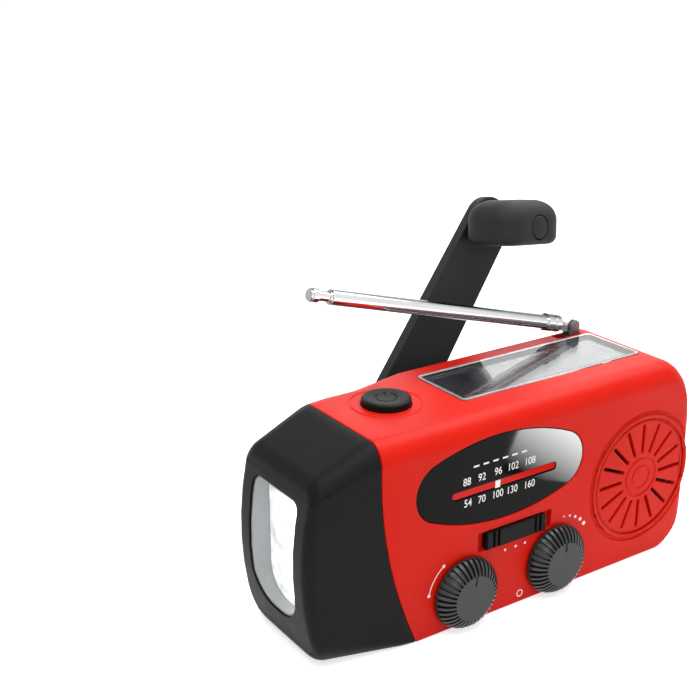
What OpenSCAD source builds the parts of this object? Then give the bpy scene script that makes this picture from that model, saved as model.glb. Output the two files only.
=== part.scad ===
// Hand-crank emergency radio with a solar top, a flashlight head, a tuning dial and a folding crank.
// Millimetres. Origin in the middle of the flat bottom, X to the speaker end, Y to the back, Z up.

/* [Case] */
// Length over the flashlight head and the case
body_length = 130; // [130:1:136]
// Depth from the front to the back of the case
body_depth = 39.2; // [39.2:0.2:41]
// Height of the case
body_height = 57.6; // [57.6:0.2:60]
// Wall of the case mouldings
wall = 2; // [1.9:0.05:2.1]
// Rounding of the top front edge
top_round = 6.2; // [5:0.2:7]
// Rounding between the sloping top and the end of the flashlight head
nose_round = 5; // [4:0.5:6]
// Rounding of the upper corner at the speaker end
end_round = 8; // [7:0.5:11]

/* [Front] */
// Number of sound slots in the speaker grille
grille_slots = 16; // [8:1:20]
// Outer reach of the sound slots
grille_radius = 16; // [13:0.5:16]
// Width of the dial window
dial_width = 56.4; // [52:0.2:56.6]
// Height of the dial window
dial_height = 24.4; // [22:0.2:24.6]
// Radius of the two knobs at the base
knob_radius = 10; // [9:0.1:10]
// Radius of the flat knob face
knob_face = 6; // [5:0.1:6.5]
// Height of the knobs over the front
knob_height = 4.6; // [4:0.2:8]
// Number of ribs around a knob
knob_ribs = 36; // [24:1:40]

/* [Top] */
// Length of the solar window
solar_length = 65.2; // [60:0.2:65.4]
// Depth of the solar window
solar_depth = 21.2; // [19:0.2:21.4]
// Radius of the flashlight button
button_radius = 6.6; // [5.5:0.1:7]
// Height of the flashlight button over the top
button_height = 1.9; // [1.5:0.1:3]

/* [Crank] */
// Distance from the hinge pin to the grip pin
crank_reach = 82.4; // [82.4:0.2:90]
// Fold of the crank away from the back at rest
crank_fold = 12; // [12:1:20]
// Lean of the crank to the speaker end at rest
crank_lean = 43.7; // [40:0.1:48]
// Length of the grip
grip_length = 19.2; // [16:0.2:19.4]
// Width of the grip
grip_width = 27.6; // [22:0.2:27.6]
// Thickness of the grip
grip_thick = 13.8; // [12.6:0.2:13.8]
// Roll of the grip on its pin at rest
grip_roll = 7; // [0:1:10]

/* [Antenna] */
// Tilt of the antenna at rest
antenna_tilt = 15.5; // [10:0.5:40]
// Length of the outer antenna tube
antenna_length = 78; // [75:1:81]
// Radius of the outer antenna tube
antenna_radius = 2.1; // [2:0.05:2.3]

/* [View] */
// Piece to build, or all of them

/* [Hidden] */
$fn = 64;

half_l = body_length / 2;
half_d = body_depth / 2;
front = -half_d;
back = half_d;
top = body_height;
in_front = front + wall;
in_back = back - wall;
in_top = top - wall;
run = 0.05;
gap = 0.1;

heel_round = 3;
foot_round = 9;
front_edge = 1;
back_edge = 1.2;
side_edge = 3.2;
nose_bow = 83;
end_bow = 110;
bow_z = 27;
slope = 23.5;
slope_start = 20 - half_l;
shoulder_x = 39 - half_l;
hip_start = 32 - half_l;
hip_tilt = 40.5;
hip_turn = 72.5;
taper_start = 27 - half_l;
taper_in = 3.2;
seam_radius = 120;
seam_x = 140.6 - half_l;
seam_z = 50;

boss_radius = 3;
boss_hole = 1.15;
bosses = [[half_l - 7, 8.5], [half_l - 8, 49], [-29.5, 6.5], [-38, 50]];
board_posts = [[-25, 22.2], [22.4, 22.2]];

lens_width = 21;
lens_low = 10;
lens_high = 44.5;
lens_x = -half_l + 6.1;
bezel_wall = 0.6;
bezel_reach = 3.7;
head_wall = wall + 0.8;
lip_reach = 2.4;

button_x = -27.6;
button_y = 3.1;
button_ring = 9.9;
solar_x = 22.5;
solar_y = 3.5;

dial_x = -6.3;
dial_z = 40.2;
dial_lean = -2.3;
dial_end = 8.5;
dial_arc = (pow(dial_width / 2 - dial_end, 2) + pow(dial_height / 2, 2) - pow(dial_end, 2))
  / (dial_height - 2 * dial_end);
rail_y = in_front + 5;
rail_z = in_top - 2.3;
pointer_x = -7.3;
slot_x = -1.4;
slot_z = 22.8;
slot_width = 25.4;
slot_height = 5.4;
tuning_x = -18.4;
volume_x = 13;
knob_z = 10.3;
shaft_radius = 3;
control_y = in_front + 9.6;

speaker_x = half_l - 19.7;
speaker_z = 26;
speaker_radius = 16.1;
board_y = 2;

hub_x = -18;
hub_z = 29;
hub_radius = 11;
hub_shaft = 3;
hinge_y = back + 6.4;
hinge_radius = 1.5;
tongue = 9;
cheek = 3.2;
arm_front = 1.95;
arm_thick = 3.2;
arm_root = 10;
arm_tip = 8.6;
grip_pin_radius = 1.8;
grip_shift = 1.2;
grip_low = 5.2;
grip_top = grip_thick - grip_low;
grip_crown = 4.5;
crown_arc = (grip_width * grip_width / 4 + grip_crown * grip_crown) / (2 * grip_crown);
end_crown = 4;
end_arc = (grip_length * grip_length / 4 + end_crown * end_crown) / (2 * end_crown);

tooth = 0.6;
drive_teeth = 48;
idler_small = 12;
idler_large = 40;
rotor_teeth = 10;
idler_turn = 35;
idler_x = hub_x + (drive_teeth + idler_small) * tooth / 2 * cos(idler_turn);
idler_z = hub_z + (drive_teeth + idler_small) * tooth / 2 * sin(idler_turn);
rotor_x = idler_x + (idler_large + rotor_teeth) * tooth / 2;
rotor_z = idler_z;
gear_y = in_back - 4.6;

antenna_x = 50.5;
antenna_y = 16.9;
antenna_z = top + 2.6;
lug = 2;
ear = 0.7;
middle_radius = antenna_radius - 0.38;
inner_radius = middle_radius - 0.37;

port_low = 24;
port_high = 37.3;
port_front = front + 4.2;
port_back = 12.8;
port_x = half_l + 0.85;
port_pin = port_high - 0.55;
socket_y = 4.2;
socket_z = 30.65;

// waste outside a rounding at the origin, with the material below and to the left
module corner(r) {
  translate([-r, -r])
    difference() {
      square(r + 1);
      circle(r);
    }
}

// rectangle with four equal roundings
module rounded(w, h, r) {
  difference() {
    square([w, h], center = true);
    for (sx = [0, 1])
      for (sy = [0, 1])
        mirror([sx, 0])
          mirror([0, sy])
            translate([w / 2, h / 2])
              corner(r);
  }
}

// oval of the dial window, drawn with four arcs that meet without a corner
module dial_oval(more) {
  end_x = dial_width / 2 - dial_end;
  rise = dial_arc - dial_height / 2;
  meet = end_x + dial_end * end_x / (dial_arc - dial_end);
  translate([dial_x, dial_z])
    rotate(dial_lean) {
      intersection() {
        translate([0, rise])
          circle(dial_arc + more, $fn = 120);
        translate([0, -rise])
          circle(dial_arc + more, $fn = 120);
        square([2 * meet, 2 * dial_height], center = true);
      }
      for (s = [-1, 1])
        translate([s * end_x, 0])
          circle(dial_end + more);
    }
}

// outline drawn in X and Z, extruded from y0 to y1
module facing(y0, y1) {
  translate([0, y1, 0])
    rotate([90, 0, 0])
      linear_extrude(y1 - y0)
        children();
}

// outline drawn in Y and Z, extruded from x0 to x1
module endwise(x0, x1) {
  translate([x0, 0, 0])
    rotate([90, 0, 90])
      linear_extrude(x1 - x0)
        children();
}

// outline drawn in X and Y, extruded from z0 to z1
module upright(z0, z1) {
  translate([0, 0, z0])
    linear_extrude(z1 - z0)
      children();
}

// round bar along Y from y0 to y1
module bar(x, z, r, y0, y1) {
  translate([x, y0, z])
    rotate([-90, 0, 0])
      cylinder(r = r, h = y1 - y0);
}

// waste outside a rounding about c, from the direction d1 to the direction d2
module blend(c, d1, d2, r) {
  translate(c)
    difference() {
      polygon([[0, 0], (r + 1) * d1, (r + 1) * (d1 + d2), (r + 1) * d2]);
      circle(r);
    }
}

// the case seen from the front, with two bowed ends and a sloping top on the flashlight head
module side_outline(inset) {
  bow = nose_bow - inset;
  bow_mid = [nose_bow - half_l, bow_z];
  slope_edge = [slope_start + inset * tan(slope / 2), top - inset];
  slope_up = [-sin(slope), cos(slope)];
  slope_way = [-cos(slope), -sin(slope)];
  nose_r = nose_round - inset;
  nose_line = slope_edge - nose_r * slope_up - bow_mid;
  nose_run = -nose_line * slope_way
    + sqrt(pow(nose_line * slope_way, 2) - nose_line * nose_line + pow(bow - nose_r, 2));
  nose_mid_point = bow_mid + nose_line + nose_run * slope_way;
  heel_r = max(heel_round - inset, 0.2);
  heel_mid_point = [
    bow_mid[0] - sqrt(pow(bow - heel_r, 2) - pow(bow_z - inset - heel_r, 2)),
    inset + heel_r
  ];
  end_mid = [half_l - end_bow, bow_z];
  end_point = [
    end_mid[0] + sqrt(pow(end_bow - end_round, 2) - pow(top - end_round - bow_z, 2)),
    top - end_round
  ];
  foot_point = [
    end_mid[0] + sqrt(pow(end_bow - foot_round, 2) - pow(bow_z - foot_round, 2)),
    foot_round
  ];
  difference() {
    intersection() {
      translate([-half_l + inset, inset])
        square([body_length - 2 * inset, top - 2 * inset]);
      translate(bow_mid)
        circle(bow, $fn = 180);
      translate(end_mid)
        circle(end_bow - inset, $fn = 180);
    }
    blend(end_point, (end_point - end_mid) / (end_bow - end_round), [0, 1], end_round - inset);
    blend(foot_point, [0, -1], (foot_point - end_mid) / (end_bow - foot_round), foot_round - inset);
    translate(slope_edge)
      rotate(slope)
        translate([-60, 0])
          square([60, 30]);
    blend(nose_mid_point, slope_up, (nose_mid_point - bow_mid) / (bow - nose_r), nose_r);
    blend(heel_mid_point, (heel_mid_point - bow_mid) / (bow - heel_r), [0, -1], heel_r);
  }
}

// the case seen from above, tapered on the front side only where its back is open
module plan_outline(inset, rear) {
  difference() {
    translate([-half_l + inset, front + inset])
      square([body_length - 2 * inset, rear - front - inset]);
    for (s = rear > back ? [1] : [0, 1])
      mirror([0, s])
        polygon([
          [taper_start, half_d - inset],
          [-half_l - 1, half_d - taper_in - inset],
          [-half_l - 1, half_d + 9],
          [taper_start, half_d + 9]
        ]);
    translate([half_l - inset, front + inset])
      mirror([0, 1])
        corner(side_edge - inset);
  }
}

// the case seen from the end
module section_outline(inset, rear) {
  difference() {
    translate([front + inset, inset])
      square([rear - front - inset, top - 2 * inset]);
    translate([front + inset, top - inset])
      mirror([1, 0])
        corner(top_round - inset);
    translate([front + inset, inset])
      rotate(180)
        corner(max(front_edge - inset, 0.2));
    translate([rear, top - inset])
      corner(back_edge);
    translate([rear, inset])
      mirror([0, 1])
        corner(back_edge);
  }
}

// waste below the lower front edge of the head, which rises towards its end
module hip(inset) {
  translate([hip_start, front, 0])
    rotate([0, hip_tilt, hip_turn])
      translate([-60, -60, inset - 30])
        cube([120, 120, 30]);
}

// block bounded by the three outlines, with the head cut back below and at its rear top edge
module blank(inset, rear) {
  difference() {
    intersection() {
      facing(front - 5, back + 9)
        side_outline(inset);
      upright(-1, top + 1)
        plan_outline(inset, rear);
      endwise(-half_l - 1, half_l + 1)
        section_outline(inset, rear);
    }
    hip(inset);
    if (rear <= back) {
      mirror([0, 1, 0])
        hip(inset);
      endwise(-half_l - 1, shoulder_x)
        translate([rear, top - inset])
          corner(top_round - inset);
    }
  }
}

// drum whose face is the curved seam between the head and the case
module seam(extra) {
  bar(seam_x, seam_z, seam_radius + extra, front - 6, back + 10, $fn = 180);
}

// flashlight window, straight on top and widely rounded below
module lens_outline(more) {
  w = lens_width / 2 + more;
  difference() {
    translate([-w, lens_low - more])
      square([2 * w, lens_high - lens_low + 2 * more]);
    for (s = [0, 1])
      mirror([s, 0]) {
        translate([w, lens_high + more])
          corner(3 + more);
        translate([w, lens_low - more])
          mirror([0, 1])
            corner(9 + more);
      }
  }
}

// ring outline
module ring(outer, inner) {
  difference() {
    circle(outer);
    circle(inner);
  }
}

// spur gear outline with a tooth on the first axis
module gear_outline(n) {
  pitch = n * tooth / 2;
  tip = pitch + 0.8 * tooth;
  base = pitch - 1.1 * tooth;
  half = 0.4 * PI * tooth / 2;
  tip_half = half - 0.28 * tooth;
  base_half = half + 0.3 * tooth;
  polygon([
    for (i = [0 : n - 1])
      for (p = [[base, -base_half], [tip, -tip_half], [tip, tip_half], [base, base_half]])
        [p[0] * cos(i * 360 / n + p[1] / p[0] * 180 / PI),
         p[0] * sin(i * 360 / n + p[1] / p[0] * 180 / PI)]
  ]);
}

// sound slots and pressed rings of the speaker grille
module grille() {
  translate([speaker_x, 0, speaker_z]) {
    facing(front - 1, in_front + 1)
      for (i = [0 : grille_slots - 1])
        rotate(i * 360 / grille_slots)
          translate([7.2, -0.5])
            square([grille_radius - 7.2, 1]);
    facing(front - 1, front + 0.5) {
      ring(17.6, 17);
      ring(19.6, 18.9);
      ring(6.1, 5.5);
      ring(3.6, 3.1);
    }
  }
}

module front_case() {
  color([0.86, 0.1, 0.08])
    difference() {
      union() {
        difference() {
          intersection() {
            blank(0, back);
            seam(0);
          }
          blank(wall, back + 8);
        }
        for (p = bosses)
          bar(p[0], p[1], boss_radius, in_front - 0.5, in_back - gap);
        for (p = board_posts)
          bar(p[0], p[1], 2.2, in_front - 0.5, board_y - gap);
        for (sx = [-1, 1])
          for (sy = [-1, 1])
            translate([button_x + sx * 7.4, button_y + sy * 5.4, in_top - 7.6])
              cylinder(r = 1.1, h = 8);
        translate([antenna_x - 7.5, 15, in_top - 1.6])
          cube([9.4, in_back - gap - 15, 2]);
        for (y = [port_front - 1.3, port_back + gap])
          difference() {
            union() {
              bar(port_x, port_pin, 0.75, y, y + 1.2);
              translate([half_l - 0.7, y, port_pin - 0.75])
                cube([port_x - half_l + 0.7, 1.2, 1.5]);
            }
            bar(port_x, port_pin, 0.4 + run, y - 1, y + 3);
          }
      }
      for (p = bosses)
        bar(p[0], p[1], boss_hole, in_back - 12, in_back + 1);
      facing(front - 1, in_front + 1)
        dial_oval(0);
      facing(front - 1, in_front + 1)
        translate([slot_x, slot_z])
          square([slot_width, slot_height], center = true);
      bar(tuning_x, knob_z, shaft_radius + run, front - 1, in_front + 1);
      bar(volume_x, knob_z, shaft_radius + run, front - 1, in_front + 1);
      grille();
      upright(in_top - 1, top + 1)
        translate([solar_x, solar_y])
          rounded(solar_length, solar_depth, 1.5);
      translate([button_x, button_y, 0]) {
        upright(in_top - 1, top + 1)
          circle(button_radius + 0.08);
        upright(top - 0.5, top + 1)
          ring(button_ring, button_ring - 0.6);
      }
      translate([antenna_x - 6.6, antenna_y - 1.8, top - 1.6])
        cube([9.2, 3.6, 3]);
      translate([half_l - wall - 1, socket_y - 7.1, socket_z - 3.4])
        cube([wall + 2, 14.2, 6.8]);
    }
}

module rear_cover() {
  color([0.13, 0.13, 0.14])
    difference() {
      union() {
        intersection() {
          facing(in_back, back)
            side_outline(wall + gap);
          blank(0, back);
          seam(-1);
        }
        bar(hub_x, hub_z, 7, in_back - 1.6, in_back + 1);
        bar(idler_x, idler_z, 3, in_back - 1, in_back + 1);
        for (x = [-22, 34])
          translate([x, in_back - 0.8, 4])
            cube([4, 1.8, 4.4]);
      }
      bar(hub_x, hub_z, 5.02, in_back - 4, back + 1);
      bar(idler_x, idler_z, 1.22, in_back - 4, in_back + 1);
      for (p = bosses) {
        bar(p[0], p[1], 1.25, in_back - 1, back + 1);
        bar(p[0], p[1], 2.3, back - 1.2, back + 1);
      }
    }
}

module case_screws() {
  color([0.55, 0.56, 0.58])
    for (p = bosses)
      difference() {
        union() {
          bar(p[0], p[1], 1.1, back - 11, back - 0.6);
          bar(p[0], p[1], 2.1, back - 1.15, back - 0.1);
        }
        translate([p[0] - 1.3, back - 0.5, p[1] - 0.25])
          cube([2.6, 1, 0.5]);
        translate([p[0] - 0.25, back - 0.5, p[1] - 1.3])
          cube([0.5, 1, 2.6]);
      }
}

module flashlight_head() {
  color([0.12, 0.12, 0.13])
    difference() {
      union() {
        difference() {
          blank(0, back);
          seam(gap);
        }
        intersection() {
          blank(wall + gap, in_back - gap);
          difference() {
            seam(0.5);
            seam(-lip_reach);
          }
        }
      }
      blank(head_wall, back - head_wall);
      endwise(-half_l - 1, -half_l + 6)
        lens_outline(0);
    }
}

module lens_bezel() {
  color([0.45, 0.46, 0.48]) {
    endwise(lens_x - 0.9, lens_x - gap)
      difference() {
        lens_outline(1.2);
        lens_outline(-bezel_wall);
      }
    endwise(lens_x - bezel_reach, lens_x - 0.5)
      difference() {
        lens_outline(-gap);
        lens_outline(-bezel_wall);
      }
  }
}

module lens() {
  color([0.9, 0.95, 1, 0.5])
    endwise(lens_x, lens_x + 1.2)
      lens_outline(1.2);
}

module reflector() {
  color([0.85, 0.86, 0.88])
    difference() {
      endwise(lens_x + 1.3, lens_x + 10.6)
        lens_outline(1.2);
      for (i = [-1 : 1])
        translate([lens_x + 1.2, 0, 27.2 + i * 10.4])
          rotate([0, 90, 0])
            cylinder(r1 = 5, r2 = 2.8, h = 9.5);
    }
}

module led_board() {
  color([0.1, 0.35, 0.2])
    endwise(lens_x + 10.8, lens_x + 12.2)
      translate([-9, 11])
        square([18, 33]);
}

module leds() {
  color([1, 1, 0.85])
    for (i = [-1 : 1])
      translate([lens_x + 10.7, 0, 27.2 + i * 10.4])
        rotate([0, -90, 0]) {
          cylinder(r = 2.5, h = 4);
          translate([0, 0, 4])
            sphere(r = 2.5);
        }
}

module flashlight_button() {
  color([0.2, 0.2, 0.21])
    translate([button_x, button_y, 0])
      difference() {
        union() {
          upright(in_top - 1.4, top + button_height)
            circle(button_radius);
          upright(in_top - 1.4, in_top - run)
            circle(button_radius + 1);
          upright(in_top - 2.4, in_top - 1)
            circle(2);
        }
        upright(top + button_height - 0.3, top + button_height + 1)
          difference() {
            ring(3, 2.5);
            translate([-0.9, 0])
              square([1.8, 4]);
          }
        upright(top + button_height - 0.3, top + button_height + 1)
          translate([-0.25, 0.4])
            square([0.5, 2.8]);
      }
}

module light_switch() {
  color([0.3, 0.3, 0.32])
    translate([button_x, button_y, 0]) {
      upright(in_top - 9, in_top - 7.7)
        square([17, 13], center = true);
      upright(in_top - 7.8, in_top - 4.4)
        square([12, 12], center = true);
      upright(in_top - 4.5, in_top - 3.6)
        circle(1.8);
    }
}

module solar_cover() {
  color([0.85, 0.9, 0.95, 0.5])
    union() {
      intersection() {
        upright(in_top - 0.6, top + 1)
          translate([solar_x, solar_y])
            rounded(solar_length - 2 * gap, solar_depth - 2 * gap, 1.4);
        blank(-0.15, back);
      }
      intersection() {
        upright(in_top - 0.9, in_top)
          translate([solar_x, solar_y])
            rounded(solar_length + 1.2, solar_depth + 0.8, 1.5);
        blank(wall + gap, in_back);
      }
    }
}

module solar_cells() {
  color([0.1, 0.11, 0.16])
    translate([solar_x, solar_y, 0])
      upright(in_top - 2.2, in_top - 1)
        rounded(solar_length - 1.4, solar_depth - 1.4, 1);
}

module port_cover() {
  color([0.15, 0.15, 0.16])
    difference() {
      union() {
        translate([half_l + 0.3, port_front, port_low])
          cube([1.1, port_back - port_front, port_pin - port_low]);
        bar(port_x, port_pin, 0.55, port_front, port_back);
        bar(port_x, port_pin, 0.4, port_front - 1.3, port_back + 1.3);
      }
      translate([half_l + 1.1, port_front + 8, port_low + 1.2])
        cube([1, port_back - port_front - 16, 0.9]);
    }
}

module charge_socket() {
  color([0.7, 0.71, 0.73])
    difference() {
      translate([half_l - 11, socket_y - 6.8, socket_z - 3.1])
        cube([10.3, 13.6, 6.2]);
      translate([half_l - 10.5, socket_y - 6.4, socket_z - 2.7])
        cube([11, 12.8, 5.4]);
    }
}

module charge_board() {
  color([0.1, 0.4, 0.2])
    translate([half_l - 14, socket_y - 6.8, socket_z - 4.5])
      cube([11.8, 13.6, 1.3]);
}

module dial_window() {
  color([0.1, 0.1, 0.1, 0.4])
    union() {
      intersection() {
        facing(front + 0.2, in_front + 0.8)
          dial_oval(-gap);
        blank(0.2, back);
      }
      intersection() {
        facing(in_front + gap, in_front + 0.8)
          dial_oval(0.8);
        blank(wall + gap, in_back);
      }
    }
}

module dial_plate() {
  color([0.06, 0.06, 0.06])
    difference() {
      union() {
        facing(in_front + 3, in_front + 3.8)
          translate([dial_x - 28, 28.6])
            square([56, 23]);
        for (x = [dial_x - 28, dial_x + 25.6])
          facing(in_front + 3, rail_y + 1.6)
            translate([x, 48])
              square([2.4, rail_z + 1.6 - 48]);
      }
      translate([dial_x - 30, rail_y, rail_z])
        rotate([0, 90, 0])
          cylinder(r = 0.92, h = 60);
    }
}

module pointer_rail() {
  color([0.7, 0.7, 0.72])
    translate([dial_x - 27.8, rail_y, rail_z])
      rotate([0, 90, 0])
        cylinder(r = 0.9, h = 55.6);
}

module dial_pointer() {
  color([0.95, 0.95, 0.93])
    difference() {
      union() {
        translate([pointer_x - 2.5, in_front + 2, rail_z - 1.5])
          cube([5, rail_y + 1.5 - in_front - 2, 3]);
        translate([pointer_x - 0.6, in_front + 1.2, 35.6])
          cube([1.2, 0.9, rail_z - 35.6]);
        translate([pointer_x - 0.6, in_front + 1.2, rail_z - 1.4])
          cube([1.2, 1.2, 2]);
      }
      translate([pointer_x - 4, rail_y, rail_z])
        rotate([0, 90, 0])
          cylinder(r = 0.9 + run, h = 8);
    }
}

// ribbed cone knob on its shaft
module knob(x) {
  lean = atan2(knob_radius - knob_face, knob_height);
  translate([x, front - 0.35, knob_z])
    rotate([90, 0, 0])
      difference() {
        union() {
          cylinder(r1 = knob_radius, r2 = knob_face + 0.4, h = knob_height);
          cylinder(r = knob_radius, h = 0.8);
        }
        for (i = [0 : knob_ribs - 1])
          rotate([0, 0, i * 360 / knob_ribs])
            translate([knob_radius - 0.5, 0, 0.8])
              rotate([0, -lean, 0])
                translate([-0.5, -0.3, 0])
                  cube([3, 0.6, knob_height * 1.4]);
        translate([0, 0, -1])
          cylinder(r = shaft_radius + 0.02, h = 3.6);
        translate([-0.4, knob_face - 2.2, knob_height - 0.5])
          cube([0.8, 3, 1]);
      }
}

module tuning_knob() {
  color([0.22, 0.22, 0.23])
    knob(tuning_x);
}

module tuning_shaft() {
  color([0.75, 0.75, 0.72]) {
    bar(tuning_x, knob_z, shaft_radius, front - 2.8, control_y - 1);
    bar(tuning_x, knob_z, 6, in_front + 4, in_front + 5);
    bar(tuning_x, knob_z, 5.2, in_front + 5, in_front + 6.5);
    bar(tuning_x, knob_z, 6, in_front + 6.5, in_front + 7.5);
    bar(tuning_x, knob_z, 2, control_y - 1.5, control_y + 3);
  }
}

module tuning_capacitor() {
  color([0.85, 0.85, 0.8])
    difference() {
      facing(control_y, board_y - gap)
        translate([tuning_x, knob_z])
          square([15, 15], center = true);
      bar(tuning_x, knob_z, 2 + run, control_y - 1, control_y + 4);
    }
}

module volume_knob() {
  color([0.22, 0.22, 0.23])
    knob(volume_x);
}

module volume_shaft() {
  color([0.75, 0.75, 0.72]) {
    bar(volume_x, knob_z, shaft_radius, front - 2.8, control_y - 1);
    bar(volume_x, knob_z, 2, control_y - 1.5, control_y + 3);
  }
}

module volume_control() {
  color([0.35, 0.25, 0.15])
    difference() {
      bar(volume_x, knob_z, 7.6, control_y, board_y - gap);
      bar(volume_x, knob_z, 2 + run, control_y - 1, control_y + 4);
    }
}

module band_slider() {
  color([0.1, 0.1, 0.1])
    difference() {
      union() {
        facing(front - 1.3, in_front + 0.6)
          translate([slot_x, slot_z])
            square([slot_width - 5, slot_height - 0.5], center = true);
        facing(in_front + 0.3, in_front + 1.2)
          translate([slot_x, slot_z])
            square([slot_width - 2, slot_height + 2], center = true);
        facing(in_front + 1, in_front + 2.8)
          translate([slot_x, slot_z])
            square(2, center = true);
      }
      for (x = [-8, -6.4, 6.4, 8])
        facing(front - 2, front - 0.8)
          translate([slot_x + x, slot_z])
            square([0.8, slot_height], center = true);
    }
}

module band_switch() {
  color([0.6, 0.6, 0.62])
    difference() {
      union() {
        facing(in_front + 1.6, in_front + 5.4)
          translate([slot_x, slot_z])
            square([20, 6.6], center = true);
        for (x = [-8, 8])
          facing(in_front + 5, board_y - gap)
            translate([slot_x + x, slot_z])
              square([1.2, 3.6], center = true);
      }
      facing(in_front + 1, in_front + 3.2)
        translate([slot_x, slot_z])
          square([8, 2.6], center = true);
    }
}

module speaker_frame() {
  color([0.5, 0.5, 0.52]) {
    facing(in_front + gap, in_front + 1.6)
      translate([speaker_x, speaker_z])
        ring(speaker_radius, speaker_radius - 1.8);
    translate([speaker_x, in_front + 1.5, speaker_z])
      rotate([-90, 0, 0])
        difference() {
          cylinder(r1 = speaker_radius - 0.4, r2 = 8.6, h = 7);
          translate([0, 0, -0.01])
            cylinder(r1 = speaker_radius - 1.6, r2 = 7.4, h = 7.02);
        }
  }
}

module speaker_cone() {
  cone_radius = speaker_radius - 1.9;
  color([0.16, 0.16, 0.16])
    translate([speaker_x, in_front + 0.9, speaker_z])
      rotate([-90, 0, 0])
        difference() {
          cylinder(r1 = cone_radius, r2 = 4, h = 6);
          translate([0, 0, -0.6])
            cylinder(r1 = cone_radius, r2 = 4, h = 6);
        }
}

module speaker_magnet() {
  color([0.35, 0.35, 0.37])
    bar(speaker_x, speaker_z, 9.5, in_front + 8.6, in_front + 14.5);
}

module main_board() {
  color([0.1, 0.4, 0.2])
    facing(board_y, board_y + 1.4)
      translate([-26, 3])
        square([51, 22]);
}

module battery() {
  color([0.2, 0.35, 0.6])
    facing(board_y + 2, in_back - 6.6)
      translate([6, 14.2])
        rounded(36, 22, 2);
}

module ferrite_rod() {
  color([0.25, 0.24, 0.23])
    translate([-24, 14.2, 6.2])
      rotate([0, 90, 0])
        cylinder(r = 2.5, h = 64);
}

module ferrite_coil() {
  color([0.72, 0.45, 0.2])
    translate([-12, 14.2, 6.2])
      rotate([0, 90, 0])
        difference() {
          cylinder(r = 3.1, h = 14);
          translate([0, 0, -1])
            cylinder(r = 2.55, h = 16);
        }
}

module generator() {
  color([0.62, 0.63, 0.65])
    difference() {
      union() {
        bar(rotor_x, rotor_z, 8.5, -9.4, gear_y - 5.7);
        bar(rotor_x, rotor_z, 3, gear_y - 5.8, gear_y - 4.5);
      }
      bar(rotor_x, rotor_z, 0.85, 1, gear_y);
    }
}

module gear_plate() {
  color([0.7, 0.7, 0.68])
    difference() {
      union() {
        facing(gear_y - 5.6, gear_y - 4.4)
          polygon([
            [idler_x - 4, idler_z - 4],
            [idler_x - 4, idler_z + 4],
            [rotor_x + 6, rotor_z + 10],
            [rotor_x + 12, rotor_z + 10],
            [rotor_x + 12, rotor_z + 4],
            [rotor_x + 5, rotor_z - 13],
            [rotor_x - 2, rotor_z - 13]
          ]);
        bar(rotor_x + 9, rotor_z + 7.2, 2, gear_y - 4.5, in_back - gap);
        bar(rotor_x + 1.5, rotor_z - 10.6, 2, gear_y - 4.5, in_back - gap);
      }
      bar(idler_x, idler_z, 1.22, gear_y - 7, gear_y - 4);
      bar(rotor_x, rotor_z, 3.1, gear_y - 7, gear_y - 4);
    }
}

module rotor_pinion() {
  color([0.8, 0.68, 0.3]) {
    translate([rotor_x, 0, rotor_z])
      facing(gear_y - 3.5, gear_y - 0.6)
        rotate(180 + 180 / rotor_teeth)
          gear_outline(rotor_teeth);
    bar(rotor_x, rotor_z, 0.8, 1.5, gear_y - 1);
  }
}

module idler_gear() {
  color([0.92, 0.92, 0.88])
    translate([idler_x, 0, idler_z])
      difference() {
        union() {
          facing(gear_y - 3.2, gear_y - 0.8)
            gear_outline(idler_large);
          facing(gear_y - 1, gear_y + 2.6)
            rotate(idler_turn + 180 + 180 / idler_small)
              gear_outline(idler_small);
        }
        bar(0, 0, 1.2 + run, gear_y - 5, gear_y + 4);
      }
}

module idler_axle() {
  color([0.7, 0.7, 0.72])
    bar(idler_x, idler_z, 1.2, gear_y - 5.4, in_back + 0.8);
}

module drive_gear() {
  color([0.92, 0.92, 0.88])
    translate([hub_x, 0, hub_z])
      difference() {
        facing(gear_y, gear_y + 2.4)
          rotate(idler_turn)
            gear_outline(drive_teeth);
        bar(0, 0, hub_shaft + 0.02, gear_y - 1, gear_y + 4);
      }
}

// hinge frame of the crank, turned about the hub by the lean
module at_hinge() {
  translate([hub_x, hinge_y, hub_z])
    rotate([0, crank_lean, 0])
      children();
}

// frame of the crank arm, with its length along Z and its front towards -Y
module at_arm() {
  at_hinge()
    rotate([-crank_fold, 0, 0])
      children();
}

// round bar across the hinge
module cross_bar(r, half) {
  translate([-half, 0, 0])
    rotate([0, 90, 0])
      cylinder(r = r, h = 2 * half);
}

module crank_hub() {
  color([0.1, 0.1, 0.11])
    difference() {
      union() {
        bar(hub_x, hub_z, hub_radius, back + 0.3, back + 2.9);
        bar(hub_x, hub_z, hub_shaft, gear_y - 0.6, back + 1);
        at_hinge()
          for (s = [0, 1])
            mirror([s, 0, 0]) {
              translate([tongue / 2 + 0.2, 0, 0])
                rotate([0, 90, 0])
                  cylinder(r = 3.6, h = cheek);
              translate([tongue / 2 + 0.2, -4, -3.6])
                cube([cheek, 4, 7.2]);
            }
      }
      at_hinge()
        cross_bar(hinge_radius + 0.01, 12);
    }
}

module hub_bush() {
  color([0.8, 0.66, 0.3])
    difference() {
      bar(hub_x, hub_z, 5, in_back - 1.6, back);
      bar(hub_x, hub_z, hub_shaft + run, in_back - 3, back + 1);
    }
}

module hinge_pin() {
  color([0.72, 0.72, 0.74])
    at_hinge()
      cross_bar(hinge_radius, tongue / 2 + 0.2 + cheek);
}

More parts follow.
